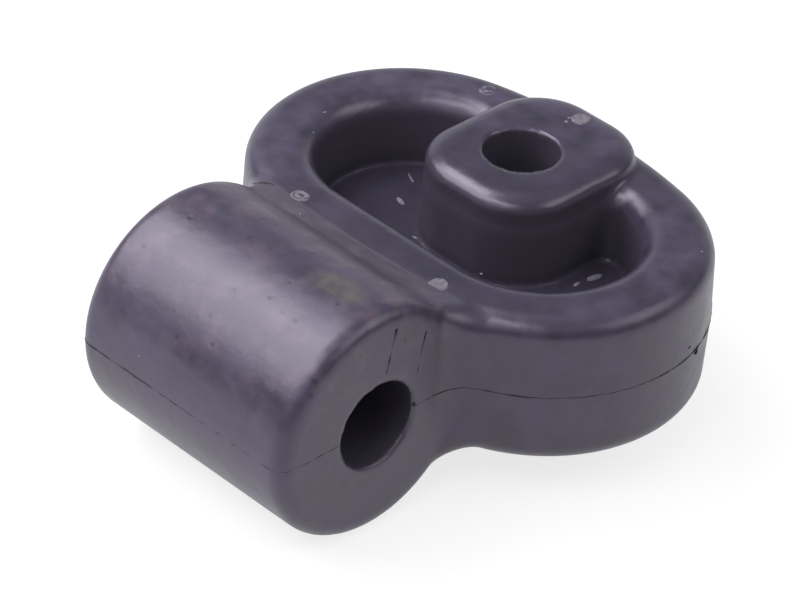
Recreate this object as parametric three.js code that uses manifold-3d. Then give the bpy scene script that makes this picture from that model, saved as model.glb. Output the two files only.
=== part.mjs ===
// Exhaust hanger rubber: one moulding that hangs an exhaust from a rod in each of its two bores.
// Millimetres, +Z up. The mould parts at z = 0, halfway up, and x = 0 is the plane of symmetry.
// The barrel lies along X at the -Y end, the oval ring spreads towards +Y, the boss stands in it.
// The origin is halfway along the part's length, on both of those planes.
import * as THREE from "three";
import { mergeVertices } from "three/addons/utils/BufferGeometryUtils.js";
import Module from "manifold-3d";

// Barrel, a thick tube that takes the rod on the body's side
const barrelRadius = 15;
const barrelLength = 35;
const barrelBore = 11.3;

// Ring, an oval of four arcs that joins the barrel along one side
const ringLength = 63.4;
const ringWidth = 45.2;
const ringEndRadius = 21;
const ringHeight = 19.8;

// Boss, which hangs from the ring's far wall and takes the exhaust's rod
const boreSpacing = 39.8;
const bossWidth = 20.6;
const bossDepth = 24.8;
const bossCornerRadius = 8;
const bossHeight = 24.6;
const bossBore = 9.8;
const bossBoreToFarEdge = 15.2;
const bossCentreBeyondBore = 2;

// Pocket, sunk from both faces round the boss down to a thin web
const pocketLength = 46.8;
const pocketWidth = 24.8;
const pocketDraft = THREE.MathUtils.degToRad(2);
const webTop = 0.2;
const webThickness = 1.6;

// Roundings of edges, and fillets where forms meet
const edgeRadius = 2.2;
const bossEdgeRadius = 2.2;
const rimRadius = 2;
const throatFillet = 5;
const neckFillet = 4;
const bossFillet = 2.5;

// How finely the curves are cut, and how far a cutter runs past what it cuts
const arcStep = THREE.MathUtils.degToRad(6);
const edgeSteps = 4;
const cutterOverrun = 1;

// Places along Y, worked out from the sizes above
const overallLength = barrelRadius + boreSpacing + bossBoreToFarEdge;
const barrelY = barrelRadius - overallLength / 2;
const bossBoreY = barrelY + boreSpacing;
const bossY = bossBoreY + bossCentreBeyondBore;
const ringY = overallLength / 2 - ringWidth / 2;

const halfTurn = Math.PI;
const quarterTurn = Math.PI / 2;

const wasm = await Module();
wasm.setup();

// Points along an arc, both ends included
function arc(x, y, radius, from, to) {
  const steps = Math.max(1, Math.ceil(Math.abs(to - from) / arcStep));
  return Array.from({ length: steps + 1 }, (_, i) => {
    const angle = from + ((to - from) * i) / steps;
    return new THREE.Vector2(x + radius * Math.cos(angle), y + radius * Math.sin(angle));
  });
}

// Joins arcs into one closed outline, leaving out a point that repeats the one before
function outline(...arcs) {
  const points = arcs.flat();
  return points.filter((point, i) => point.distanceTo(points.at(i - 1)) > 1e-6);
}

// Moves each side of an anticlockwise outline inwards by the same distance
function insetOutline(points, distance) {
  const outward = (a, b) => new THREE.Vector2(b.y - a.y, a.x - b.x).normalize();
  return points.map((point, i) => {
    const before = outward(points.at(i - 1), point);
    const after = outward(point, points[(i + 1) % points.length]);
    const mitre = before.clone().add(after).divideScalar(1 + before.dot(after));
    return point.clone().addScaledVector(mitre, -distance);
  });
}

// A closed solid made of one outline at several heights, inset by its own amount at each
function layered(points, levels) {
  const position = levels.flatMap(([height, inset]) =>
    insetOutline(points, inset).flatMap((point) => [point.x, point.y, height]));
  const count = points.length;
  const index = [];
  for (let level = 0; level < levels.length - 1; level++) {
    for (let i = 0; i < count; i++) {
      const a = level * count + i;
      const b = level * count + ((i + 1) % count);
      index.push(a, b, b + count, a, b + count, a + count);
    }
  }
  const lid = (levels.length - 1) * count;
  for (const [a, b, c] of THREE.ShapeUtils.triangulateShape(points, [])) {
    index.push(a, c, b, lid + a, lid + b, lid + c);
  }
  const geometry = new THREE.BufferGeometry();
  geometry.setAttribute("position", new THREE.Float32BufferAttribute(position, 3));
  geometry.setIndex(index);
  return geometry;
}

// Heights and insets of a slab whose edges are rounded, top and bottom alike
function roundedSlab(height, radius) {
  const upper = Array.from({ length: edgeSteps + 1 }, (_, i) => {
    const angle = (quarterTurn * i) / edgeSteps;
    return [height / 2 - radius + radius * Math.sin(angle), radius * (1 - Math.cos(angle))];
  });
  const lower = upper.map(([z, inset]) => [-z, inset]).reverse();
  return [...lower, ...upper];
}

function toSolid(geometry) {
  geometry.deleteAttribute("normal");
  geometry.deleteAttribute("uv");
  const merged = mergeVertices(geometry, 1e-5);
  return new wasm.Manifold(new wasm.Mesh({
    numProp: 3,
    vertProperties: new Float32Array(merged.attributes.position.array),
    triVerts: new Uint32Array(merged.index.array),
  }));
}

// Arc centres and radii of an oval made of two end arcs and two flatter side arcs
function ovalArcs(length, width, endRadius) {
  const endX = length / 2 - endRadius;
  const sideRadius = (endX ** 2 + (width / 2) ** 2 - endRadius ** 2) / (width - 2 * endRadius);
  const sideY = sideRadius - width / 2;
  return { endX, sideRadius, sideY, joint: Math.atan2(sideY, endX) };
}

// Ring with its two neck corners, which are filleted in plan into the barrel's end faces
function ringSolid() {
  const { endX, sideRadius, sideY, joint } = ovalArcs(ringLength, ringWidth, ringEndRadius);
  const filletX = barrelLength / 2 + neckFillet;
  const filletReach = Math.sqrt((ringEndRadius + neckFillet) ** 2 - (filletX - endX) ** 2);
  const filletAngle = Math.atan2(-filletReach, filletX - endX);
  const filletY = ringY - filletReach;
  const points = outline(
    [new THREE.Vector2(-barrelLength / 2, barrelY), new THREE.Vector2(barrelLength / 2, barrelY)],
    arc(filletX, filletY, neckFillet, halfTurn, halfTurn + filletAngle),
    arc(endX, ringY, ringEndRadius, filletAngle, joint),
    arc(0, ringY - sideY, sideRadius, joint, halfTurn - joint),
    arc(-endX, ringY, ringEndRadius, halfTurn - joint, halfTurn - filletAngle),
    arc(-filletX, filletY, neckFillet, -filletAngle, 0),
  );
  return toSolid(layered(points, roundedSlab(ringHeight, edgeRadius)));
}

// Barrel in side view, with the throats that run into the ring's top and bottom faces.
// It is drawn with y across and z up, then turned so that its length lies along X.
function barrelSolid() {
  const throatZ = ringHeight / 2 + throatFillet;
  const throatReach = Math.sqrt((barrelRadius + throatFillet) ** 2 - throatZ ** 2);
  const throatAngle = Math.atan2(throatZ, throatReach);
  const throatY = barrelY + throatReach;
  const ringNearY = ringY - ringWidth / 2;
  const pocketNearY = ringY - pocketWidth / 2;
  const rootY = (ringNearY + pocketNearY) / 2;
  const points = outline(
    [new THREE.Vector2(rootY, -ringHeight / 2), new THREE.Vector2(rootY, ringHeight / 2)],
    arc(throatY, throatZ, throatFillet, -quarterTurn, throatAngle - halfTurn),
    arc(barrelY, 0, barrelRadius, throatAngle, 2 * halfTurn - throatAngle),
    arc(throatY, -throatZ, throatFillet, halfTurn - throatAngle, quarterTurn),
  );
  const geometry = layered(points, roundedSlab(barrelLength, edgeRadius));
  geometry.rotateX(quarterTurn).rotateZ(quarterTurn);
  return toSolid(geometry);
}

// Pocket cutter for one face: an oblong with a bay on each side of the boss. Its wall leans out
// with the mould's draft and ends in the rounded rim.
function pocketCutter(floor, side) {
  const endRadius = pocketWidth / 2;
  const endX = pocketLength / 2 - endRadius;
  const bayX = bossWidth / 2 + bossFillet;
  const pastEnd = Math.max(0, bayX - endX);
  const bayY = Math.sqrt((endRadius - bossFillet) ** 2 - pastEnd ** 2);
  const bayAngle = Math.atan2(bayY, pastEnd);
  const points = outline(
    arc(endX, ringY, endRadius, -quarterTurn, bayAngle),
    arc(bayX, ringY + bayY, bossFillet, bayAngle, halfTurn),
    arc(-bayX, ringY + bayY, bossFillet, 0, halfTurn - bayAngle),
    arc(-endX, ringY, endRadius, halfTurn - bayAngle, 3 * quarterTurn),
  );
  const face = ringHeight / 2;
  const rimFoot = face - rimRadius;
  const rim = Array.from({ length: edgeSteps + 1 }, (_, i) => {
    const angle = (quarterTurn * i) / edgeSteps;
    return [rimFoot + rimRadius * Math.sin(angle), -rimRadius * (1 - Math.cos(angle))];
  });
  const levels = [
    [floor, (rimFoot - floor) * Math.tan(pocketDraft)],
    ...rim,
    [face + cutterOverrun, -rimRadius],
  ];
  const placed = side > 0 ? levels : levels.map(([z, inset]) => [-z, inset]).reverse();
  return toSolid(layered(points, placed));
}

// Boss, a rounded rectangle in plan that reaches past the ring's faces
function bossSolid() {
  const cornerX = bossWidth / 2 - bossCornerRadius;
  const cornerY = bossDepth / 2 - bossCornerRadius;
  const points = outline(
    arc(cornerX, bossY - cornerY, bossCornerRadius, -quarterTurn, 0),
    arc(cornerX, bossY + cornerY, bossCornerRadius, 0, quarterTurn),
    arc(-cornerX, bossY + cornerY, bossCornerRadius, quarterTurn, halfTurn),
    arc(-cornerX, bossY - cornerY, bossCornerRadius, halfTurn, 3 * quarterTurn),
  );
  return toSolid(layered(points, roundedSlab(bossHeight, bossEdgeRadius)));
}

// Bore cutters: one across the part in the barrel, one upright in the boss
function boreCutter(diameter, length) {
  const sides = Math.round((2 * halfTurn) / arcStep);
  return new THREE.CylinderGeometry(diameter / 2, diameter / 2, length + 2 * cutterOverrun, sides);
}

const barrelBoreCutter = boreCutter(barrelBore, barrelLength).rotateZ(quarterTurn).translate(0, barrelY, 0);
const bossBoreCutter = boreCutter(bossBore, bossHeight).rotateX(quarterTurn).translate(0, bossBoreY, 0);

const moulding = ringSolid()
  .add(barrelSolid())
  .subtract(pocketCutter(webTop, 1))
  .subtract(pocketCutter(webThickness - webTop, -1))
  .add(bossSolid())
  .subtract(toSolid(barrelBoreCutter))
  .subtract(toSolid(bossBoreCutter));

const cut = moulding.getMesh();
const geometry = new THREE.BufferGeometry();
geometry.setAttribute("position", new THREE.BufferAttribute(cut.vertProperties, cut.numProp));
geometry.setIndex(new THREE.BufferAttribute(cut.triVerts, 1));

const rubber = new THREE.MeshStandardMaterial({ color: 0x2b2830, roughness: 0.5, metalness: 0 });
const hangerRubber = new THREE.Mesh(geometry, rubber);
hangerRubber.name = "hanger_rubber";

const part = new THREE.Group();
part.add(hangerRubber);

export default part;
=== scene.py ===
import math
from functools import partial

import bpy
import numpy as np
import openvdb
from mathutils import Matrix, Vector


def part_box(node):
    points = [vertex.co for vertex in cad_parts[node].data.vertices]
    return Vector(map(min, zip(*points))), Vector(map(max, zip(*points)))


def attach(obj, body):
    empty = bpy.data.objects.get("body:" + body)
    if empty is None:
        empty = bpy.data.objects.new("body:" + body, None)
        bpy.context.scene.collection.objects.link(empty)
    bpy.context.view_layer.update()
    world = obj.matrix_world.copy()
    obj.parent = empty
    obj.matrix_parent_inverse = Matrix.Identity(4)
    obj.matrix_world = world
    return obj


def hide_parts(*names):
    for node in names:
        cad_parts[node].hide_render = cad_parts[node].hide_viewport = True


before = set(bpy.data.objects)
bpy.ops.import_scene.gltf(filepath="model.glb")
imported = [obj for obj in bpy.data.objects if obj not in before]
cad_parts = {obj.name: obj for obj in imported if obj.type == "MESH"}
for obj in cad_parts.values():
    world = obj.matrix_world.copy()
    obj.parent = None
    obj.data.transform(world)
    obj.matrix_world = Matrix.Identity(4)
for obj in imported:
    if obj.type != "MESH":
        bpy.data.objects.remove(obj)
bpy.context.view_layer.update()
millimetre = 0.001


def hexColour(code):
    # sRGB hex to the linear colour that Blender's sockets take
    channels = [int(code[i:i + 2], 16) / 255 for i in (0, 2, 4)]
    return [c / 12.92 if c <= 0.04045 else ((c + 0.055) / 1.055) ** 2.4 for c in channels] + [1.0]


def feed(node, inputs):
    # sets a node's inputs, or links them to a socket or to another node's first output
    for key, value in inputs.items():
        socket = node.inputs[key]
        if isinstance(value, bpy.types.Node):
            value = value.outputs[0]
        if isinstance(value, bpy.types.NodeSocket):
            node.id_data.links.new(value, socket)
        else:
            socket.default_value = value


def addNode(tree, kind, inputs=None, **settings):
    # one node with its settings, and its inputs set or linked
    node = tree.nodes.new(kind)
    for name, value in settings.items():
        setattr(node, name, value)
    feed(node, inputs or {})
    return node


def startMaterial(name):
    # a new material, with what adds a node to it and its shader
    material = bpy.data.materials.new(name)
    material.use_nodes = True
    return material, partial(addNode, material.node_tree), material.node_tree.nodes["Principled BSDF"]


def startTree(name, **sockets):
    # a Geometry Nodes tree with these inputs, with what adds a node to it and its inputs' sockets
    tree = bpy.data.node_groups.new(name, "GeometryNodeTree")
    for socket, kind in {"Geometry": "Geometry", **sockets, "Material": "Material"}.items():
        tree.interface.new_socket(socket, in_out="INPUT", socket_type="NodeSocket" + kind)
    tree.interface.new_socket("Geometry", in_out="OUTPUT", socket_type="NodeSocketGeometry")
    return tree, partial(addNode, tree), addNode(tree, "NodeGroupInput").outputs


def addObject(name, mesh):
    piece = bpy.data.objects.new(name, mesh)
    bpy.context.scene.collection.objects.link(piece)
    return piece


# Moulding: sizes in mm, with the parting plane at z = 0. A few of them refine the solid's.
moulding = {
    "barrelRadius": 15.0,
    "barrelLength": 35.0,
    "barrelBore": 11.2,
    "barrelEdge": 2.1,
    "barrelY": -20.0,
    "ringLength": 63.0,
    "ringWidth": 43.5,
    "ringEndRadius": 20.5,
    "ringHeight": 19.8,
    "ringEdge": 2.7,
    "ringDraft": math.radians(2),
    "ringY": 12.6,
    "pocketY": 12.6,
    "pocketLength": 45.3,
    "pocketWidth": 24.5,
    "pocketDraft": math.radians(2),
    "rimRadius": 2.8,
    "bossWidth": 20.8,
    "bossDepth": 24.5,
    "bossCornerRadius": 8.0,
    "bossHeight": 24.5,
    "bossEdge": 3.0,
    "bossEdgeRise": 1.8,       # the boss's edges are rounded wider than they are high
    "bossY": 21.4,
    "bossBore": 9.5,
    "bossBoreY": 19.8,
    "webTop": 0.2,
    "webThickness": 1.6,
    "throatFillet": 5.0,       # where barrel and ring run into each other
    "mostParallel": 0.95,      # cosine of the flattest angle that such a fillet is worked out for
    "bossFillet": 2.5,         # in the pocket, where the boss meets the ring's far wall
    "bossFoot": 0.6,           # where the boss rises out of the ring's faces
    "webFillet": 0.12,
    "boreEdge": 0.15,          # bores break their faces with a tiny edge
    "pitch": 0.52,             # size of the mesh's faces
    "margin": 3,               # cells of that size that are left free round the moulding
    "passes": 3,               # times that the mesh's points are drawn onto the surface
    "leastSlope": 0.25,        # the slope's square counts as no less than this there
}


def blendFields(a, b, radius):
    # both solids together, with a fillet of this radius in the corner
    corner = np.hypot(np.maximum(radius - a, 0), np.maximum(radius - b, 0))
    return np.maximum(radius, np.minimum(a, b)) - corner


def cutField(a, b, radius):
    # solid a less solid b, with the new edge rounded
    return -blendFields(-a, b, radius)


def filletFields(first, second, place, radius):
    # both solids together, with a true fillet of this radius whatever the angle they meet at
    a, b = first(*place), second(*place)
    cosine = sum(p * q for p, q in zip(slopes(first, place), slopes(second, place)))
    cosine = np.clip(cosine, -moulding["mostParallel"], moulding["mostParallel"])
    fromA, fromB = radius - a, radius - b
    inCorner = (fromA > fromB * cosine) & (fromB > fromA * cosine)
    square = (fromA ** 2 + fromB ** 2 - 2 * fromA * fromB * cosine) / (1 - cosine ** 2)
    return np.where(inCorner, radius - np.sqrt(np.maximum(square, 0)), np.minimum(a, b))


def slopes(field, place, step=0.02):
    # slope of a field along each axis, by a small step either way
    result = []
    for axis in range(3):
        ahead, behind = list(place), list(place)
        ahead[axis] = ahead[axis] + step
        behind[axis] = behind[axis] - step
        result.append((field(*ahead) - field(*behind)) / (2 * step))
    return result


def slabField(flat, height, thickness, edge, rise=None):
    # distance to an outline raised to a slab with rounded edges, from its distance in plan
    rise = rise or edge
    across = flat / edge + 1
    up = (np.abs(height) - thickness / 2) / rise + 1
    rounded = np.hypot(np.maximum(across, 0), np.maximum(up, 0)) + np.minimum(np.maximum(across, up), 0)
    return (rounded - 1) * math.sqrt(edge * rise)


def ovalField(x, y, length, width, endRadius):
    # distance in plan to an oval of two end arcs and two flatter side arcs
    x, y = np.abs(x), np.abs(y)
    endX = length / 2 - endRadius
    sideRadius = (endX ** 2 + (width / 2) ** 2 - endRadius ** 2) / (width - 2 * endRadius)
    sideY = sideRadius - width / 2
    onSide = endX * (y + sideY) > sideY * x
    return np.where(onSide, np.hypot(x, y + sideY) - sideRadius, np.hypot(x - endX, y) - endRadius)


def ringPlan(x, y):
    m = moulding
    return ovalField(x, y - m["ringY"], m["ringLength"], m["ringWidth"], m["ringEndRadius"])


def ringField(x, y, z):
    # the ring's slab, whose wall leans out to the parting plane with the mould's draft
    m = moulding
    ringFoot = m["ringHeight"] / 2 - m["ringEdge"]
    bulge = np.maximum(ringFoot - np.abs(z), 0) * math.tan(m["ringDraft"])
    return slabField(ringPlan(x, y) - bulge, z, m["ringHeight"], m["ringEdge"])


def barrelField(x, y, z):
    m = moulding
    barrelFlat = np.hypot(y - m["barrelY"], z) - m["barrelRadius"]
    return slabField(barrelFlat, x, m["barrelLength"], m["barrelEdge"])


def outerField(x, y, z):
    # distance in mm to the ring and barrel as one body, before anything is sunk into it
    return filletFields(ringField, barrelField, (x, y, z), moulding["throatFillet"])


def bossPlan(x, y):
    # distance in plan to the boss, a rounded rectangle
    m = moulding
    cornerX = np.abs(x) - m["bossWidth"] / 2 + m["bossCornerRadius"]
    cornerY = np.abs(y - m["bossY"]) - m["bossDepth"] / 2 + m["bossCornerRadius"]
    inside = np.minimum(np.maximum(cornerX, cornerY), 0)
    return np.hypot(np.maximum(cornerX, 0), np.maximum(cornerY, 0)) + inside - m["bossCornerRadius"]


def pocketPlan(x, y, z):
    # distance in plan to the pocket's wall at height z, without the boss; negative in the pocket
    m = moulding
    endRadius = m["pocketWidth"] / 2
    endX = m["pocketLength"] / 2 - endRadius
    rimFoot = m["ringHeight"] / 2 - m["rimRadius"]
    lean = np.maximum(rimFoot - np.abs(z), 0) * math.tan(m["pocketDraft"])
    return np.hypot(np.maximum(np.abs(x) - endX, 0), y - m["pocketY"]) - endRadius + lean


def mouldingField(x, y, z):
    # distance in mm to the surface of the moulding, negative inside
    m = moulding
    body = outerField(x, y, z)
    bossFlat = bossPlan(x, y)
    pocket = cutField(pocketPlan(x, y, z), bossFlat, m["bossFillet"])
    body = cutField(body, pocket, m["rimRadius"])
    boss = slabField(bossFlat, z, m["bossHeight"], m["bossEdge"], m["bossEdgeRise"])
    body = blendFields(body, boss, m["bossFoot"])

    webMiddle = m["webTop"] - m["webThickness"] / 2
    web = np.maximum(np.abs(z - webMiddle) - m["webThickness"] / 2, ringPlan(x, y) + m["ringEdge"])
    body = blendFields(body, web, m["webFillet"])

    barrelBore = np.hypot(y - m["barrelY"], z) - m["barrelBore"] / 2
    bossBore = np.hypot(x, y - m["bossBoreY"]) - m["bossBore"] / 2
    body = cutField(body, barrelBore, m["boreEdge"])
    return cutField(body, bossBore, m["boreEdge"])


def makeMoulding():
    # samples the field on a grid, meshes its zero surface and draws each point onto it
    pitch = moulding["pitch"]
    margin = moulding["margin"] * pitch
    low, high = [np.array(corner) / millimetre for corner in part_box("hanger_rubber")]
    axes = [np.arange(a - margin, b + margin, pitch) for a, b in zip(low, high)]
    grid = openvdb.FloatGrid()
    grid.copyFromArray(mouldingField(*np.meshgrid(*axes, indexing="ij")).astype(np.float32))
    points, quads = grid.convertToQuads(0.0)
    points = points * pitch + np.array([axis[0] for axis in axes])
    for _ in range(moulding["passes"]):
        slope = np.stack(slopes(mouldingField, points.T), axis=1)
        reach = mouldingField(*points.T) / np.maximum((slope ** 2).sum(axis=1), moulding["leastSlope"])
        points = points - slope * reach[:, None]
    mesh = bpy.data.meshes.new("hangerRubber")
    mesh.from_pydata((points * millimetre).tolist(), [], quads.tolist())
    mesh.polygons.foreach_set("use_smooth", np.ones(len(quads), bool))
    mesh.update()
    print("moulding:", len(points), "points,", len(quads), "faces")
    return addObject("hangerRubber", mesh)


moulded = makeMoulding()


# Flash: the thin skin of rubber that is squeezed out where the two halves of the mould meet
flash = {
    "radius": 0.065,           # of the trimmed bead that is left, in mm
    "waver": 0.22,             # how far it strays from the parting plane
    "waverCells": 700.0,       # cells per metre of the noise that bends it
    "step": 0.25,              # spacing of its points
    "sides": 6,
    "thin": 0.3,               # thickness where it was trimmed well and where it tore, as shares
    "lump": 2.2,
    # cells per metre of the noise that picks between those two, and its values that give each
    "lumpCells": 420.0,
    "lumpRange": (0.42, 0.72),
    "seed": 3.0,
    # how much of it is left round the outline, by the turn about the centre from +X in degrees
    "left": (
        (0, 0.7), (20, 0.6), (36, 1.25), (60, 1.0), (200, 0.8), (236, 0.95),
        (268, 0.9), (282, 0.3), (324, 0.4), (345, 1.1), (360, 0.7),
    ),
    "centreY": -6.0,           # the centre, on the plane of symmetry, from which all of the outline shows
    # the finer line at the foot of the pocket's wall, and how far along X it is left
    "footRadius": 0.045,
    "footEnd": -8.0,
    "footThin": 0.05,
    "footLump": 3.4,
    "footSeed": 7.0,
    # creases left by the rubber's flow, as points in mm: two above the barrel's bore; and a line on its
    # neck, which is painted shade drawn as a dark crease
    "creases": (
        ((17.5, -17.9, 12.5), (17.5, -18.3, 10.6), (17.5, -18.6, 9.2), (17.5, -19.1, 6.8)),
        ((17.5, -13.1, 10.0), (17.5, -13.6, 7.8), (17.5, -14.1, 4.8)),
    ),
    # painted shade: a dark line along the barrel's neck where the throat is in shade, as X and Y in mm
    "paintedNeckShade": (
        (-18.6, -6.8), (-17.9, -7.1), (-17.2, -7.0), (-16.7, -6.7), (-16.3, -6.3), (-15.6, -6.2),
    ),
    "creaseRadius": 0.085,
    "creaseWaver": 0.11,
    "creaseSeed": 12.0,
}


def flashTree():
    # Geometry Nodes: a wavering bead of uneven thickness along any curve
    tree, add, given = startTree("flashAlongPath", Radius="Float", Waver="Float", Step="Float",
                                 Thin="Float", Lump="Float", Seed="Float")
    place = add("GeometryNodeInputPosition")
    even = add("GeometryNodeResampleCurve", {
        "Curve": given["Geometry"], "Length": given["Step"],
    }, mode="LENGTH")
    stray = add("ShaderNodeTexNoise", {
        "Vector": place, "W": given["Seed"], "Scale": flash["waverCells"], "Detail": 2.0,
    }, noise_dimensions="4D").outputs["Color"]
    stray = add("ShaderNodeVectorMath", {0: stray, 1: (0.5, 0.5, 0.5)}, operation="SUBTRACT")
    stray = add("ShaderNodeVectorMath", {0: stray, "Scale": given["Waver"]}, operation="SCALE")
    bent = add("GeometryNodeSetPosition", {"Geometry": even, "Offset": stray})

    # thickness, by the noise and by how much is left at each point of the path
    uneven = add("ShaderNodeTexNoise", {
        "Vector": place, "W": given["Seed"], "Scale": flash["lumpCells"], "Detail": 3.0,
    }, noise_dimensions="4D")
    low, high = flash["lumpRange"]
    lump = add("ShaderNodeMapRange", {
        "Value": uneven, "From Min": low, "From Max": high,
        "To Min": given["Thin"], "To Max": given["Lump"],
    })
    left = add("GeometryNodeInputRadius")
    radius = add("ShaderNodeMath", {0: lump, 1: given["Radius"]}, operation="MULTIPLY")
    radius = add("ShaderNodeMath", {0: radius, 1: left}, operation="MULTIPLY")
    profile = add("GeometryNodeCurvePrimitiveCircle", {"Resolution": flash["sides"], "Radius": 1.0})
    bead = add("GeometryNodeCurveToMesh", {
        "Curve": bent, "Profile Curve": profile, "Scale": radius, "Fill Caps": True,
    })
    real = add("GeometryNodeRealizeInstances", {"Geometry": bead})
    dressed = add("GeometryNodeSetMaterial", {"Geometry": real, "Material": given["Material"]})
    add("NodeGroupOutput", {"Geometry": dressed})
    return tree


def runTree(name, source, tree, values):
    # evaluates a tree on a source object with these inputs, and keeps its result as a plain mesh
    modifier = source.modifiers.new("nodes", "NODES")
    modifier.node_group = tree
    for item in tree.interface.items_tree:
        if item.item_type == "SOCKET" and item.in_out == "INPUT" and item.name in values:
            modifier[item.identifier] = values[item.name]
    evaluated = source.evaluated_get(bpy.context.evaluated_depsgraph_get())
    mesh = bpy.data.meshes.new_from_object(evaluated)
    mesh.name = name
    bpy.data.objects.remove(source)
    mesh.polygons.foreach_set("use_smooth", np.ones(len(mesh.polygons), bool))
    print(name + ":", len(mesh.polygons), "faces")
    return addObject(name, mesh)


def curveSource(paths, centreY=0.0, left=((0, 1.0),)):
    # a curve object of open runs of points in mm, with how much is left at each turn about a centre
    turns, shares = zip(*left)
    curve = bpy.data.curves.new("path", "CURVE")
    curve.dimensions = "3D"
    for path in paths:
        spline = curve.splines.new("POLY")
        spline.points.add(len(path) - 1)
        for point, place in zip(spline.points, path):
            point.co = (*(np.array(place) * millimetre), 1)
            turn = math.degrees(math.atan2(place[1] - centreY, place[0])) % 360
            point.radius = np.interp(turn, turns, shares)
    return addObject("path", curve)


# Tracing: how outlines and heights are found on the moulding's surface
tracing = {
    "rays": 720,
    "farthest": 60.0,          # length of a ray in mm, past all of the part
    "halvings": 40,            # times that the stretch that holds the surface is halved
    "highest": 20.0,           # the same for a height, in mm and times
    "heightHalvings": 30,
}


def traceOutline(field, centreY, z):
    # where a field turns positive at height z, along rays from a centre on the plane of symmetry
    turns = np.linspace(0, 2 * math.pi, tracing["rays"], endpoint=False)
    level = np.full_like(turns, z)
    low, high = np.zeros_like(turns), np.full_like(turns, tracing["farthest"])
    for _ in range(tracing["halvings"]):
        middle = (low + high) / 2
        outside = field(middle * np.cos(turns), centreY + middle * np.sin(turns), level) > 0
        low, high = np.where(outside, low, middle), np.where(outside, middle, high)
    return np.stack([high * np.cos(turns), centreY + high * np.sin(turns), level], axis=1)


def onTop(x, y):
    # the height of the moulding's upper surface over a place on it
    low, high = 0.0, tracing["highest"]
    for _ in range(tracing["heightHalvings"]):
        middle = (low + high) / 2
        spot = [np.array([value]) for value in (x, y, middle)]
        low, high = (low, middle) if mouldingField(*spot)[0] > 0 else (middle, high)
    return high


def openRuns(points, leaveOut):
    # cuts a closed outline into the open runs between the points that are left out, of three or more
    start = int(np.argmax(leaveOut & ~np.roll(leaveOut, 1)))
    points, leaveOut = np.roll(points, -start, axis=0), np.roll(leaveOut, -start)
    edges = np.flatnonzero(np.diff(leaveOut.astype(int), append=1))
    return [points[a + 1:b + 1] for a, b in zip(edges[0::2], edges[1::2]) if b - a > 2]


def partingPaths():
    # the body's outline in the parting plane, broken where the barrel's bore opens
    points = traceOutline(outerField, flash["centreY"], 0.0)
    return openRuns(points, np.abs(points[:, 1] - moulding["barrelY"]) < moulding["barrelBore"] / 2)


def pocketPaths():
    # the foot of the pocket's wall at its left end, broken where the boss stands against it
    points = traceOutline(pocketPlan, moulding["pocketY"], moulding["webTop"] + moulding["webFillet"] / 2)
    againstBoss = bossPlan(points[:, 0], points[:, 1]) < moulding["bossFillet"]
    return openRuns(points, againstBoss | (points[:, 0] > flash["footEnd"]))


# Gates: the round scars where rubber entered the mould, torn off when it was opened
gates = {
    "radius": 1.28,
    "height": 0.22,
    "seed": 5,
    "segments": 56,            # faces of the ball that a scar is made from, round it and up it
    "rings": 26,
    "flat": 0.0001,            # height to which that ball is pressed
    "sunk": 0.12,              # how deep a scar's edge lies in the rubber, as a share of its height
    # noise that bends the scar's outline and breaks its rim, in cells per metre, and how far it bends
    "raggedCells": 620.0,
    "ragged": 0.5,
    # how far out the rim peaks and the square of its half width, by the radius, and its full height
    "rimPlace": 1.05,
    "rimWidth": 0.03,
    "rimRise": 1.6,
    # how far out the pad within it starts and is full, the noise that tears it, and what is added to that
    "padEnds": (1.2, 0.95),
    "tornCells": 1300.0,
    "tornRise": 0.2,
    # place on the part in mm, and how high the scar's rim and its pad stand, as shares
    "spots": (
        ((-12.1, -5.3, 9.9), 0.8, 0.185),
        ((11.6, -5.4, 9.9), 0.8, 0.75),
        ((-0.25, 30.3, 12.25), 0.9, 0.95),
        ((-14.8, 28.9, 9.9), 0.16, 0.17),
    ),
}


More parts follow.
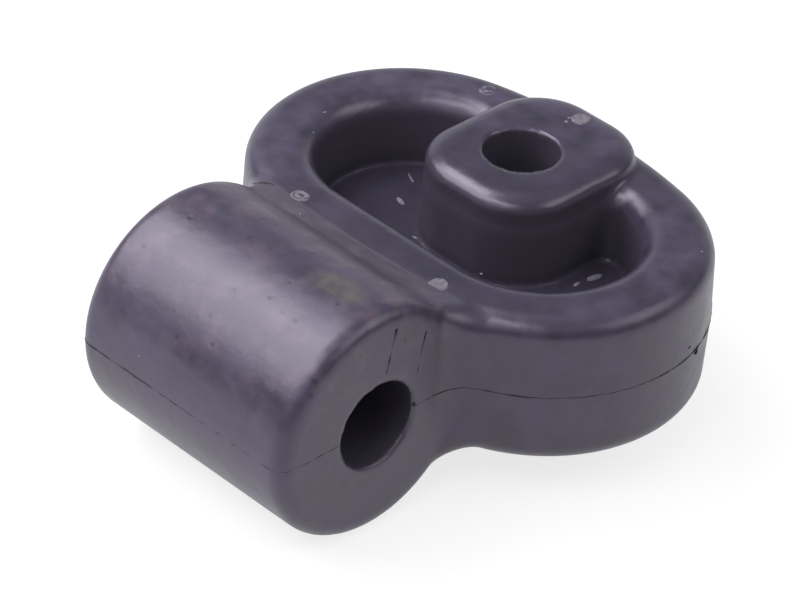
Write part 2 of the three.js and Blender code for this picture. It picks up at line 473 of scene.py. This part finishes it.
def gateTree():
    # Geometry Nodes: on each point a flat round scar with a ragged rim and an uneven pad
    tree, add, given = startTree("tornGates", Radius="Float", Height="Float", Seed="Int")

    # a ball pressed flat on each point; it keeps where each of its points was on the ball
    ball = add("GeometryNodeMeshUVSphere", {
        "Segments": gates["segments"], "Rings": gates["rings"], "Radius": 1.0,
    })
    place = add("GeometryNodeInputPosition")
    ball = add("GeometryNodeStoreNamedAttribute", {
        "Geometry": ball, "Name": "spot", "Value": place,
    }, data_type="FLOAT_VECTOR")
    pressed = add("GeometryNodeTransform", {"Geometry": ball, "Scale": (1, 1, gates["flat"])})
    turn = add("FunctionNodeRandomValue", {
        "Max": (0, 0, math.tau), "Seed": given["Seed"],
    }, data_type="FLOAT_VECTOR")
    placed = add("GeometryNodeInstanceOnPoints", {
        "Points": given["Geometry"], "Instance": pressed, "Rotation": turn, "Scale": given["Radius"],
    })
    real = add("GeometryNodeRealizeInstances", {"Geometry": placed})

    # how far out each point lies on its scar, bent by noise so that the outline is ragged
    spot = add("GeometryNodeInputNamedAttribute", {"Name": "spot"}, data_type="FLOAT_VECTOR")
    upright = add("ShaderNodeSeparateXYZ", {0: spot}).outputs[2]
    level = add("ShaderNodeVectorMath", {0: spot, 1: (1, 1, 0)}, operation="MULTIPLY")
    reach = add("ShaderNodeVectorMath", {0: level}, operation="LENGTH").outputs["Value"]
    coarse = add("ShaderNodeTexNoise", {"Vector": place, "Scale": gates["raggedCells"], "Detail": 2.0})
    bent = add("ShaderNodeMath", {0: coarse, 1: gates["ragged"], 2: reach}, operation="MULTIPLY_ADD")

    # a rim that peaks near the edge
    fromRim = add("ShaderNodeMath", {0: bent, 1: gates["rimPlace"]}, operation="SUBTRACT")
    fromRim = add("ShaderNodeMath", {0: fromRim, 1: fromRim}, operation="MULTIPLY")
    rim = add("ShaderNodeMapRange", {
        "Value": fromRim, "From Min": gates["rimWidth"], "From Max": 0.0,
    }, interpolation_type="SMOOTHSTEP")
    rimShare = add("GeometryNodeInputNamedAttribute", {"Name": "rim"}, data_type="FLOAT")
    for share in (rimShare, coarse, gates["rimRise"]):
        rim = add("ShaderNodeMath", {0: rim, 1: share}, operation="MULTIPLY")

    # a pad within it that is torn rough
    outer, inner = gates["padEnds"]
    padShare = add("GeometryNodeInputNamedAttribute", {"Name": "pad"}, data_type="FLOAT")
    pad = add("ShaderNodeMapRange", {
        "Value": bent, "From Min": outer, "From Max": inner, "To Max": padShare,
    })
    torn = add("ShaderNodeTexNoise", {"Vector": place, "Scale": gates["tornCells"], "Detail": 3.0})
    torn = add("ShaderNodeMath", {0: torn, 1: gates["tornRise"]}, operation="ADD")
    pad = add("ShaderNodeMath", {0: pad, 1: torn}, operation="MULTIPLY")

    # the higher of the two on the ball's upper half, let into the rubber a little
    raised = add("ShaderNodeMath", {0: rim, 1: pad}, operation="MAXIMUM")
    above = add("ShaderNodeMath", {0: upright, 1: 0.0}, operation="GREATER_THAN")
    raised = add("ShaderNodeMath", {0: raised, 1: above}, operation="MULTIPLY")
    raised = add("ShaderNodeMath", {0: raised, 1: gates["sunk"]}, operation="SUBTRACT")
    lift = add("ShaderNodeMath", {0: raised, 1: given["Height"]}, operation="MULTIPLY")
    offset = add("ShaderNodeCombineXYZ", {"Z": lift})
    shaped = add("GeometryNodeSetPosition", {"Geometry": real, "Offset": offset})
    dressed = add("GeometryNodeSetMaterial", {"Geometry": shaped, "Material": given["Material"]})
    add("NodeGroupOutput", {"Geometry": dressed})
    return tree


def pointSource(spots, **attributes):
    # a mesh of loose points in mm, with one number or vector for each
    mesh = bpy.data.meshes.new("points")
    mesh.from_pydata([[c * millimetre for c in spot] for spot in spots], [], [])
    for name, values in attributes.items():
        vector = np.ndim(values[0]) > 0
        layer = mesh.attributes.new(name, "FLOAT_VECTOR" if vector else "FLOAT", "POINT")
        layer.data.foreach_set("vector" if vector else "value", np.ravel(values).astype(float))
    return addObject("points", mesh)


# Crumbs: bits of torn flash and dust that cling to the rubber
crumbs = {
    "seed": 11,
    "subdivisions": 3,
    "raggedness": 0.12,        # how far their faces are bent, in mm
    "raggedCells": 2600.0,     # cells per metre of the noise that roughens them
    # place in mm, half sizes in mm, and turn about the vertical in degrees
    "bits": (
        ((-16.8, 18.3, 0.28), (1.2, 0.16, 0.12), -27),      # sliver on the pocket's floor
        ((-14.0, 13.8, 0.2), (0.9, 0.35, 0.04), -20),
        ((12.6, 17.6, 0.25), (0.3, 0.6, 0.14), 10),
        ((13.0, 20.3, 0.25), (0.5, 1.2, 0.2), -8),
        ((11.6, 24.1, 0.3), (0.25, 0.3, 0.2), 0),
        ((-8.1, -9.0, 11.03), (0.13, 0.12, 0.1), 0),
        ((-13.8, -6.6, 10.0), (0.14, 0.1, 0.08), 0),
        ((26.6, 23.2, 9.9), (0.14, 0.13, 0.08), 0),
        ((12.4, 0.9, 9.0), (0.22, 0.12, 0.1), 20),
        ((1.6, 0.6, 8.6), (0.4, 0.12, 0.1), 0),
        ((-22.1, 6.1, 9.3), (0.2, 0.16, 0.06), 30),
        ((-24.1, 10.0, 9.7), (0.22, 0.14, 0.06), 70),
        ((-0.96, 28.5, 12.27), (0.32, 0.2, 0.08), 15),      # the torn tail of the boss's gate
        ((-1.3, 29.4, 12.27), (0.3, 0.14, 0.06), 75),
        ((-11.35, -4.85, 10.0), (0.34, 0.26, 0.17), 40),
        ((17.5, -26.3, -6.5), (0.08, 0.1, 0.1), 0),
        ((-7.0, -34.7, 2.95), (0.14, 0.08, 0.1), 0),
    ),
    # dark lumps of flash that were torn instead of trimmed
    "lumps": (
        ((31.5, 14.6, 0.0), (0.16, 0.55, 0.14), 12),
        ((31.05, 17.4, 1.3), (0.14, 0.45, 0.22), 20),
        ((30.6, 19.4, -0.6), (0.14, 0.5, 0.3), 30),
        ((17.45, -14.3, 0.2), (0.16, 0.3, 0.2), 0),
    ),
}


def crumbTree():
    # Geometry Nodes: a small ragged lump on each point
    tree, add, given = startTree("clingingCrumbs", Raggedness="Float", Seed="Int")
    ball = add("GeometryNodeMeshIcoSphere", {
        "Radius": 1.0, "Subdivisions": crumbs["subdivisions"],
    })
    size = add("GeometryNodeInputNamedAttribute", {"Name": "size"}, data_type="FLOAT_VECTOR")
    turn = add("GeometryNodeInputNamedAttribute", {"Name": "turn"}, data_type="FLOAT_VECTOR")
    placed = add("GeometryNodeInstanceOnPoints", {
        "Points": given["Geometry"], "Instance": ball, "Rotation": turn, "Scale": size,
    })
    real = add("GeometryNodeRealizeInstances", {"Geometry": placed})
    place = add("GeometryNodeInputPosition")
    ragged = add("ShaderNodeTexNoise", {
        "Vector": place, "W": given["Seed"], "Scale": crumbs["raggedCells"], "Detail": 2.0,
    }, noise_dimensions="4D").outputs["Color"]
    ragged = add("ShaderNodeVectorMath", {0: ragged, 1: (0.5, 0.5, 0.5)}, operation="SUBTRACT")
    ragged = add("ShaderNodeVectorMath", {0: ragged, "Scale": given["Raggedness"]}, operation="SCALE")
    moved = add("GeometryNodeSetPosition", {"Geometry": real, "Offset": ragged})
    dressed = add("GeometryNodeSetMaterial", {"Geometry": moved, "Material": given["Material"]})
    add("NodeGroupOutput", {"Geometry": dressed})
    return tree


# Rubber: EPDM vulcanised in a steel mould. The mould gives it a close satin skin, and wax that
# sweats out of it since lies on the skin as a thin violet grey bloom in clouds and streaks.
rubber = {
    "black": "2a2638",
    "bloom": "474159",
    "dustAndPaintedLight": "413d4a",     # painted light that lifts the shade on the pocket's walls and in the barrel's bore, and the pale dust on the pocket's floor
    "pink": "62525e",
    "stain": "636059",
    "pit": "211d28",
    "shine": "f9f0ff",         # tint of its reflections
    "specular": 0.85,
    "dusty": 0.25,             # the same on the pocket's floor, under the dust
    "smooth": 0.33,            # roughness of the clean skin, and under the thickest bloom
    "dull": 0.48,
    "polished": 0.9,           # share of that roughness round the pocket, where the mould is polished

    # bloom: sizes of its patterns in mm, where their noise starts to count and is full, and shares
    "cloud": 4.0,
    "cloudRange": (0.34, 0.68),
    "cloudShare": 0.55,        # of the clouds, on the barrel
    "streak": (20.0, 2.6),     # length and width
    "streakRange": (0.36, 0.66),
    "streakShare": 0.5,
    "bloomShare": 0.75,        # of clouds and streaks together
    # a place round which the bloom is thinner, so the rubber is darker, how far from there it is thinnest
    # and whole, and the share left there
    "thinBloomPlace": (6.0, 6.0, 10.0),
    "thinBloomReach": (10.0, 30.0),
    "thinBloomShare": 0.3,

    # marks on the barrel: where along Y it starts and is full, and the same for its crown along Z
    "barrelReach": (-5.0, -9.0),
    "crownReach": (2.0, 9.0),
    "patch": 3.4,
    "patchRange": (0.5, 0.66),
    "patchShare": 0.4,
    "stainPlace": (9.8, -19.6, 15.0),
    "stainReach": (5.0, 2.6, 2.6),
    "stainEnds": (1.1, 0.3),   # shares of that reach where it starts and is full
    "smear": 1.4,
    "smearRange": (0.36, 0.6),
    "smearShares": (0.3, 0.62),
    "pitSpacing": 2.4,
    "pitRadius": 0.55,
    "pitDepth": 0.035,
    "pitShare": 0.5,           # share of the cells that hold a pit

    # mm outside the pocket's outline where its polish, and its painted light and dust, start and are full
    "polishReach": (6.0, 4.0),
    "pocketInsideReach": (2.0, 0.5),
    "dustReach": (2.2, 1.0),   # the same for the floor's dust, from the parting plane
    "dustShare": 0.6,
    "wallTilt": (0.6, 0.2),    # the same for its walls, by the normal's Z
    "boreReach": (1.03, 1.0),  # the same for the painted light in the bore, as shares of its radius

    # relief in mm
    "wave": 2.8,
    "waveHeight": 0.1,
    "grain": 0.3,              # the real skin's grain is finer, too fine to show
    "grainHeight": 0.007,
}


def makeRubber():
    material, add, shader = startMaterial("vulcanisedRubber")
    coordinates = add("ShaderNodeTexCoord").outputs
    place = coordinates["Object"]
    along = add("ShaderNodeSeparateXYZ", {0: place}).outputs
    start, full = [c * millimetre for c in rubber["barrelReach"]]
    onBarrel = add("ShaderNodeMapRange", {
        "Value": along["Y"], "From Min": start, "From Max": full,
    }, interpolation_type="SMOOTHSTEP")

    # bloom: clouds everywhere, streaks along the barrel, and less of it, so darker rubber, round a place
    # over the pocket's front
    long, wide = rubber["streak"]
    start, full = rubber["streakRange"]
    stretched = add("ShaderNodeMapping", {"Vector": place, "Scale": (wide / long, 1, 1)})
    streak = add("ShaderNodeTexNoise", {
        "Vector": stretched, "Scale": 1 / (wide * millimetre), "Detail": 3.0,
    })
    streak = add("ShaderNodeMapRange", {"Value": streak, "From Min": start, "From Max": full})
    streak = add("ShaderNodeMath", {0: streak, 1: onBarrel}, operation="MULTIPLY")
    start, full = rubber["cloudRange"]
    cloud = add("ShaderNodeTexNoise", {
        "Vector": place, "Scale": 1 / (rubber["cloud"] * millimetre), "Detail": 4.0,
    })
    cloud = add("ShaderNodeMapRange", {"Value": cloud, "From Min": start, "From Max": full})
    clouded = add("ShaderNodeMapRange", {"Value": onBarrel, "To Min": 1.0, "To Max": rubber["cloudShare"]})
    cloud = add("ShaderNodeMath", {0: cloud, 1: clouded}, operation="MULTIPLY")
    near, far = [c * millimetre for c in rubber["thinBloomReach"]]
    thinnedBloom = add("ShaderNodeVectorMath", {
        0: place, 1: [c * millimetre for c in rubber["thinBloomPlace"]],
    }, operation="DISTANCE").outputs["Value"]
    thinnedBloom = add("ShaderNodeMapRange", {
        "Value": thinnedBloom, "From Min": near, "From Max": far, "To Min": rubber["thinBloomShare"],
    })
    bloom = add("ShaderNodeMath", {0: streak, 1: rubber["streakShare"], 2: cloud}, operation="MULTIPLY_ADD")
    for share in (thinnedBloom, rubber["bloomShare"]):
        bloom = add("ShaderNodeMath", {0: bloom, 1: share}, operation="MULTIPLY")

    # pinkish patches on the barrel's crown
    start, full = [c * millimetre for c in rubber["crownReach"]]
    upper = add("ShaderNodeMapRange", {
        "Value": along["Z"], "From Min": start, "From Max": full,
    }, interpolation_type="SMOOTHSTEP")
    onCrown = add("ShaderNodeMath", {0: onBarrel, 1: upper}, operation="MULTIPLY")
    start, full = rubber["patchRange"]
    patch = add("ShaderNodeTexNoise", {
        "Vector": place, "Scale": 1 / (rubber["patch"] * millimetre), "Detail": 3.0,
    })
    patch = add("ShaderNodeMapRange", {
        "Value": patch, "From Min": start, "From Max": full, "To Max": rubber["patchShare"],
    })
    patch = add("ShaderNodeMath", {0: patch, 1: onCrown}, operation="MULTIPLY")

    # a yellowish stain there, smeared by noise
    away = add("ShaderNodeVectorMath", {
        0: place, 1: [c * millimetre for c in rubber["stainPlace"]],
    }, operation="SUBTRACT")
    away = add("ShaderNodeVectorMath", {
        0: away, 1: [1 / (c * millimetre) for c in rubber["stainReach"]],
    }, operation="MULTIPLY")
    away = add("ShaderNodeVectorMath", {0: away}, operation="LENGTH").outputs["Value"]
    start, full = rubber["stainEnds"]
    stain = add("ShaderNodeMapRange", {
        "Value": away, "From Min": start, "From Max": full,
    }, interpolation_type="SMOOTHSTEP")
    start, full = rubber["smearRange"]
    least, most = rubber["smearShares"]
    smear = add("ShaderNodeTexNoise", {
        "Vector": place, "Scale": 1 / (rubber["smear"] * millimetre), "Detail": 3.0,
    })
    smear = add("ShaderNodeMapRange", {
        "Value": smear, "From Min": start, "From Max": full, "To Min": least, "To Max": most,
    })
    stain = add("ShaderNodeMath", {0: stain, 1: smear}, operation="MULTIPLY")

    # distance in plan from the middle line of the pocket, whose outline is endRadius from it
    endRadius = moulding["pocketWidth"] / 2
    endX = moulding["pocketLength"] / 2 - endRadius
    beyond = add("ShaderNodeMath", {0: along["X"]}, operation="ABSOLUTE")
    beyond = add("ShaderNodeMath", {0: beyond, 1: endX * millimetre}, operation="SUBTRACT")
    beyond = add("ShaderNodeMath", {0: beyond, 1: 0.0}, operation="MAXIMUM")
    across = add("ShaderNodeMath", {
        0: along["Y"], 1: moulding["pocketY"] * millimetre,
    }, operation="SUBTRACT")
    fromPocket = add("ShaderNodeCombineXYZ", {"X": beyond, "Y": across})
    fromPocket = add("ShaderNodeVectorMath", {0: fromPocket}, operation="LENGTH").outputs["Value"]

    # the pocket's polished rim and its dusty floor
    start, full = [(endRadius + c) * millimetre for c in rubber["polishReach"]]
    polished = add("ShaderNodeMapRange", {
        "Value": fromPocket, "From Min": start, "From Max": full,
        "To Min": 1.0, "To Max": rubber["polished"],
    })
    start, full = [(endRadius + c) * millimetre for c in rubber["pocketInsideReach"]]
    inPocket = add("ShaderNodeMapRange", {"Value": fromPocket, "From Min": start, "From Max": full})
    start, full = [c * millimetre for c in rubber["dustReach"]]
    depth = add("ShaderNodeMath", {0: along["Z"]}, operation="ABSOLUTE")
    dusty = add("ShaderNodeMapRange", {"Value": depth, "From Min": start, "From Max": full})
    dusty = add("ShaderNodeMath", {0: dusty, 1: inPocket}, operation="MULTIPLY")

    # its walls and the barrel's bore, made lighter as painted light that lifts their shade, and the floor,
    # partly paler under the dust
    start, full = rubber["wallTilt"]
    tilt = add("ShaderNodeSeparateXYZ", {0: coordinates["Normal"]}).outputs["Z"]
    tilt = add("ShaderNodeMath", {0: tilt}, operation="ABSOLUTE")
    onWall = add("ShaderNodeMapRange", {"Value": tilt, "From Min": start, "From Max": full})
    walls = add("ShaderNodeMath", {0: inPocket, 1: onWall}, operation="MULTIPLY")
    start, full = rubber["boreReach"]
    overBore = 2 / (moulding["barrelBore"] * millimetre)
    fromBore = add("ShaderNodeVectorMath", {
        0: place, 1: (0, moulding["barrelY"] * millimetre, 0),
    }, operation="SUBTRACT")
    fromBore = add("ShaderNodeVectorMath", {0: fromBore, 1: (0, overBore, overBore)}, operation="MULTIPLY")
    fromBore = add("ShaderNodeVectorMath", {0: fromBore}, operation="LENGTH").outputs["Value"]
    inBore = add("ShaderNodeMapRange", {"Value": fromBore, "From Min": start, "From Max": full})
    dustAndPaintedLight = add("ShaderNodeMath", {0: walls, 1: inBore}, operation="MAXIMUM")
    dustAndPaintedLight = add("ShaderNodeMath", {
        0: dusty, 1: rubber["dustShare"], 2: dustAndPaintedLight,
    }, operation="MULTIPLY_ADD", use_clamp=True)

    # pits left by gas, in some of the cells on the crown
    cells = add("ShaderNodeTexVoronoi", {
        "Vector": place, "Scale": 1 / (rubber["pitSpacing"] * millimetre),
    }).outputs
    pits = add("ShaderNodeMapRange", {
        "Value": cells["Distance"], "From Min": rubber["pitRadius"] / rubber["pitSpacing"], "From Max": 0.0,
    }, interpolation_type="SMOOTHSTEP")
    chance = add("ShaderNodeSeparateColor", {0: cells["Color"]})
    chosen = add("ShaderNodeMath", {0: chance, 1: rubber["pitShare"]}, operation="LESS_THAN")
    for mask in (chosen, onCrown):
        pits = add("ShaderNodeMath", {0: pits, 1: mask}, operation="MULTIPLY")

    # colour: each mark is laid over those before it
    colour = hexColour(rubber["black"])
    # the fourth mark is painted light on the pocket's walls and in the bore, with the floor's dust
    marks = {"bloom": bloom, "pink": patch, "stain": stain, "dustAndPaintedLight": dustAndPaintedLight, "pit": pits}
    for name, mask in marks.items():
        colour = add("ShaderNodeMix", {
            "Factor": mask, "A": colour, "B": hexColour(rubber[name]),
        }, data_type="RGBA").outputs["Result"]

    # finish: duller under the bloom, with broad waves, a fine grain and the pits in relief, in metres
    dull = add("ShaderNodeMapRange", {"Value": bloom, "To Min": rubber["smooth"], "To Max": rubber["dull"]})
    dull = add("ShaderNodeMath", {0: dull, 1: polished}, operation="MULTIPLY")
    specular = add("ShaderNodeMapRange", {
        "Value": dusty, "To Min": rubber["specular"], "To Max": rubber["dusty"],
    })
    wave = add("ShaderNodeTexNoise", {
        "Vector": place, "Scale": 1 / (rubber["wave"] * millimetre), "Detail": 3.0,
    })
    grain = add("ShaderNodeTexNoise", {
        "Vector": place, "Scale": 1 / (rubber["grain"] * millimetre), "Detail": 3.0,
    })
    relief = add("ShaderNodeMath", {0: wave, 1: rubber["waveHeight"] * millimetre}, operation="MULTIPLY")
    for pattern, height in ((grain, rubber["grainHeight"]), (pits, -rubber["pitDepth"])):
        relief = add("ShaderNodeMath", {
            0: pattern, 1: height * millimetre, 2: relief,
        }, operation="MULTIPLY_ADD")
    bump = add("ShaderNodeBump", {"Height": relief, "Strength": 1.0, "Distance": 1.0})
    feed(shader, {"Specular IOR Level": rubber["specular"]})      # stays where the link below is dropped
    feed(shader, {
        "Base Color": colour, "Roughness": dull, "Normal": bump, "Specular IOR Level": specular,
        "Specular Tint": hexColour(rubber["shine"]),
    })
    print("rubber:", len(material.node_tree.nodes), "nodes")
    return material


moulded.data.materials.append(makeRubber())
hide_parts("hanger_rubber")
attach(moulded, "root")


# Trim: rubber that was cut or torn has no moulded skin, so it is rough and takes no clear light
trim = {
    "grain": 0.4,              # in mm, coarser than the real tear so that it shows
    "grainHeight": 0.1,
    "relief": 0.6,             # strength of that grain
    # colour that each varies to from the rubber's black, and roughness
    "cutAndShade": ("17141b", 0.7),    # trimmed with a blade, and dark; on the flash lines and the neck also dark as painted shade
    "torn": ("8a8592", 0.6),   # torn off, and pale where it was stretched
    "dust": ("a09ca6", 0.8),   # fine rubber dust and bloom that cling in crumbs, pale and matt
}


def makeTrim(name, kind):
    material, add, shader = startMaterial(name)
    code, roughness = trim[kind]
    place = add("ShaderNodeTexCoord").outputs["Object"]
    grain = add("ShaderNodeTexNoise", {
        "Vector": place, "Scale": 1 / (trim["grain"] * millimetre), "Detail": 4.0,
    })
    colour = add("ShaderNodeMix", {
        "Factor": grain, "A": hexColour(rubber["black"]), "B": hexColour(code),
    }, data_type="RGBA").outputs["Result"]
    bump = add("ShaderNodeBump", {
        "Height": grain, "Strength": trim["relief"], "Distance": trim["grainHeight"] * millimetre,
    })
    feed(shader, {"Base Color": colour, "Normal": bump, "Roughness": roughness})
    return material


# dark colour that is partly the cut rubber's own and partly painted shade along the flash lines
cutRubberAndShade = makeTrim("trimmedFlashAndPaintedShade", "cutAndShade")
tornRubber = makeTrim("tornGateRubber", "torn")
dust = makeTrim("clingingDust", "dust")
flashNodes = flashTree()


def makeFlash(name, source, radius, waver, thin, lump, seed, material):
    # flash along the source's curves, with its radius and waver in mm
    return runTree(name, source, flashNodes, {
        "Radius": radius * millimetre, "Waver": waver * millimetre, "Step": flash["step"] * millimetre,
        "Thin": thin, "Lump": lump, "Seed": seed, "Material": material,
    })


# the parting flash is darker than the rubber partly as painted shade under the fin
parting = makeFlash(
    "partingFlash", curveSource(partingPaths(), flash["centreY"], flash["left"]),
    flash["radius"], flash["waver"], flash["thin"], flash["lump"], flash["seed"], cutRubberAndShade)
footFlash = makeFlash(
    "pocketFootFlash", curveSource(pocketPaths()),
    flash["footRadius"], flash["waver"], flash["footThin"], flash["footLump"], flash["footSeed"], dust)
spots, rims, pads = zip(*gates["spots"])
scars = runTree("gateScars", pointSource(spots, rim=rims, pad=pads), gateTree(), {
    "Radius": gates["radius"] * millimetre, "Height": gates["height"] * millimetre, "Seed": gates["seed"],
    "Material": tornRubber,
})
# the neck's line of painted shade, set on the top surface
neckShadeLine = [(x, y, onTop(x, y)) for x, y in flash["paintedNeckShade"]]
creases = makeFlash(
    "flowCreasesAndNeckShade", curveSource([*flash["creases"], neckShadeLine]),
    flash["creaseRadius"], flash["creaseWaver"], flash["thin"], flash["lump"], flash["creaseSeed"],
    cutRubberAndShade)


def makeCrumbs(name, rows, tree, material):
    places, halfSizes, turns = zip(*rows)
    sizes = [[c * millimetre for c in size] for size in halfSizes]
    source = pointSource(places, size=sizes, turn=[(0, 0, math.radians(turn)) for turn in turns])
    return runTree(name, source, tree, {
        "Raggedness": crumbs["raggedness"] * millimetre, "Seed": crumbs["seed"], "Material": material,
    })


crumbNodes = crumbTree()
bits = makeCrumbs("clingingBits", crumbs["bits"], crumbNodes, dust)
lumps = makeCrumbs("tornLumps", crumbs["lumps"], crumbNodes, cutRubberAndShade)
for piece in (parting, footFlash, scars, creases, bits, lumps):
    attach(piece, "root")


# Camera: the photograph's view, as angles in degrees and lengths in mm
camera = {
    "azimuth": 44.1,
    "elevation": 34.87,
    "roll": 3.56,
    "distance": 472.3,
    "lens": 177.3,
    "sensor": 36.0,
    "nearest": 10.0,           # nothing closer to the lens shows
    "aimY": 4.8,               # the aim's place along the part, before the shifts below
    "aimRight": -3.24,
    "aimUp": -2.56,
}


def directionTo(around, above):
    # the direction at these degrees round from the barrel's side and up
    around, above = math.radians(around), math.radians(above)
    level = math.cos(above)
    return Vector((math.sin(around) * level, -math.cos(around) * level, math.sin(above)))


def makeCamera():
    azimuth, roll = math.radians(camera["azimuth"]), math.radians(camera["roll"])
    back = directionTo(camera["azimuth"], camera["elevation"])
    level = Vector((math.cos(azimuth), math.sin(azimuth), 0))
    upright = back.cross(level)
    right = math.cos(roll) * level + math.sin(roll) * upright
    up = back.cross(right)
    aim = Vector((0, camera["aimY"], 0)) + camera["aimRight"] * right + camera["aimUp"] * up
    eye = addObject("camera", bpy.data.cameras.new("camera"))
    eye.data.lens = camera["lens"]
    eye.data.sensor_width = camera["sensor"]
    eye.data.clip_start = camera["nearest"] * millimetre
    turn = Matrix((right, up, back)).transposed().to_4x4()
    eye.matrix_world = Matrix.Translation((aim + camera["distance"] * back) * millimetre) @ turn
    bpy.context.scene.camera = eye


makeCamera()
print("camera: placed")


# Studio: a white table under the barrel, dim white surroundings and large soft lamps
studio = {
    "tableZ": -15.0,
    "tableSize": 4000.0,
    "table": "8c8c8d",
    "tableRoughness": 0.6,
    "glow": 0.77,              # added to the table where it is seen or mirrored, so that it shows white
    "surround": 0.26,          # strength of the pale surroundings, and of their foot beyond the table
    "horizon": 0.06,
    "horizonTop": 0.25,        # Z of the direction from which they have their full strength
    "distance": 1.0,           # lamps stand this far off, in metres
    # direction round from the barrel's side and up, in degrees; width and height in metres; radiance
    "lamps": {
        "key": (306, 44, 0.94, 0.68, 3.75),
        "keyHigh": (276, 58, 0.5, 0.4, 3.75),
        "keyLow": (330, 36, 0.45, 0.35, 0.8),
        "overhead": (2, 57, 0.6, 0.36, 4.0),
        "front": (2, 27, 0.6, 0.4, 0.9),
        "fill": (34, 44, 0.55, 0.45, 0.7),
        "right": (122, 40, 0.8, 0.5, 2.0),
        "top": (200, 74, 0.9, 0.9, 0.3),
        "back": (222, 12, 1.7, 0.36, 0.6),
    },
}


def makeLamp(name, around, above, width, height, radiance):
    # a soft box that faces the part, its power worked out from how bright its face should be
    lamp = addObject(name, bpy.data.lights.new(name, "AREA"))
    lamp.data.shape = "RECTANGLE"
    lamp.data.size = width
    lamp.data.size_y = height
    lamp.data.energy = radiance * math.pi * width * height
    direction = directionTo(around, above)
    lamp.location = direction * studio["distance"]
    lamp.rotation_euler = direction.to_track_quat("Z", "Y").to_euler()


def makeTable():
    # mat white laminate, which gives back an even light and no clear reflection
    half = studio["tableSize"] * millimetre / 2
    z = studio["tableZ"] * millimetre
    corners = [(-half, -half, z), (half, -half, z), (half, half, z), (-half, half, z)]
    mesh = bpy.data.meshes.new("table")
    mesh.from_pydata(corners, [], [(0, 1, 2, 3)])
    table = addObject("table", mesh)
    material, add, shader = startMaterial("matWhiteLaminate")
    rays = add("ShaderNodeLightPath").outputs
    seen = rays["Is Camera Ray"]
    for ray in ("Is Glossy Ray", "Is Transmission Ray"):
        seen = add("ShaderNodeMath", {0: seen, 1: rays[ray]}, operation="MAXIMUM")
    glow = add("ShaderNodeMath", {0: seen, 1: studio["glow"]}, operation="MULTIPLY")
    feed(shader, {
        "Base Color": hexColour(studio["table"]), "Roughness": studio["tableRoughness"],
        "Emission Color": (1, 1, 1, 1), "Emission Strength": glow,
    })
    mesh.materials.append(material)


def makeSurround():
    world = bpy.data.worlds.new("studio")
    bpy.context.scene.world = world
    world.use_nodes = True
    add = partial(addNode, world.node_tree)
    direction = add("ShaderNodeTexCoord").outputs["Generated"]
    height = add("ShaderNodeSeparateXYZ", {0: direction}).outputs["Z"]
    strength = add("ShaderNodeMapRange", {
        "Value": height, "From Min": 0.0, "From Max": studio["horizonTop"],
        "To Min": studio["horizon"], "To Max": studio["surround"],
    }, interpolation_type="SMOOTHSTEP")
    feed(world.node_tree.nodes["Background"], {"Color": (1, 1, 1, 1), "Strength": strength})


makeTable()
makeSurround()
for lampName, settings in studio["lamps"].items():
    makeLamp(lampName, *settings)
print("studio:", len(studio["lamps"]), "lamps over the table")
bpy.context.scene.view_settings.view_transform = "Standard"
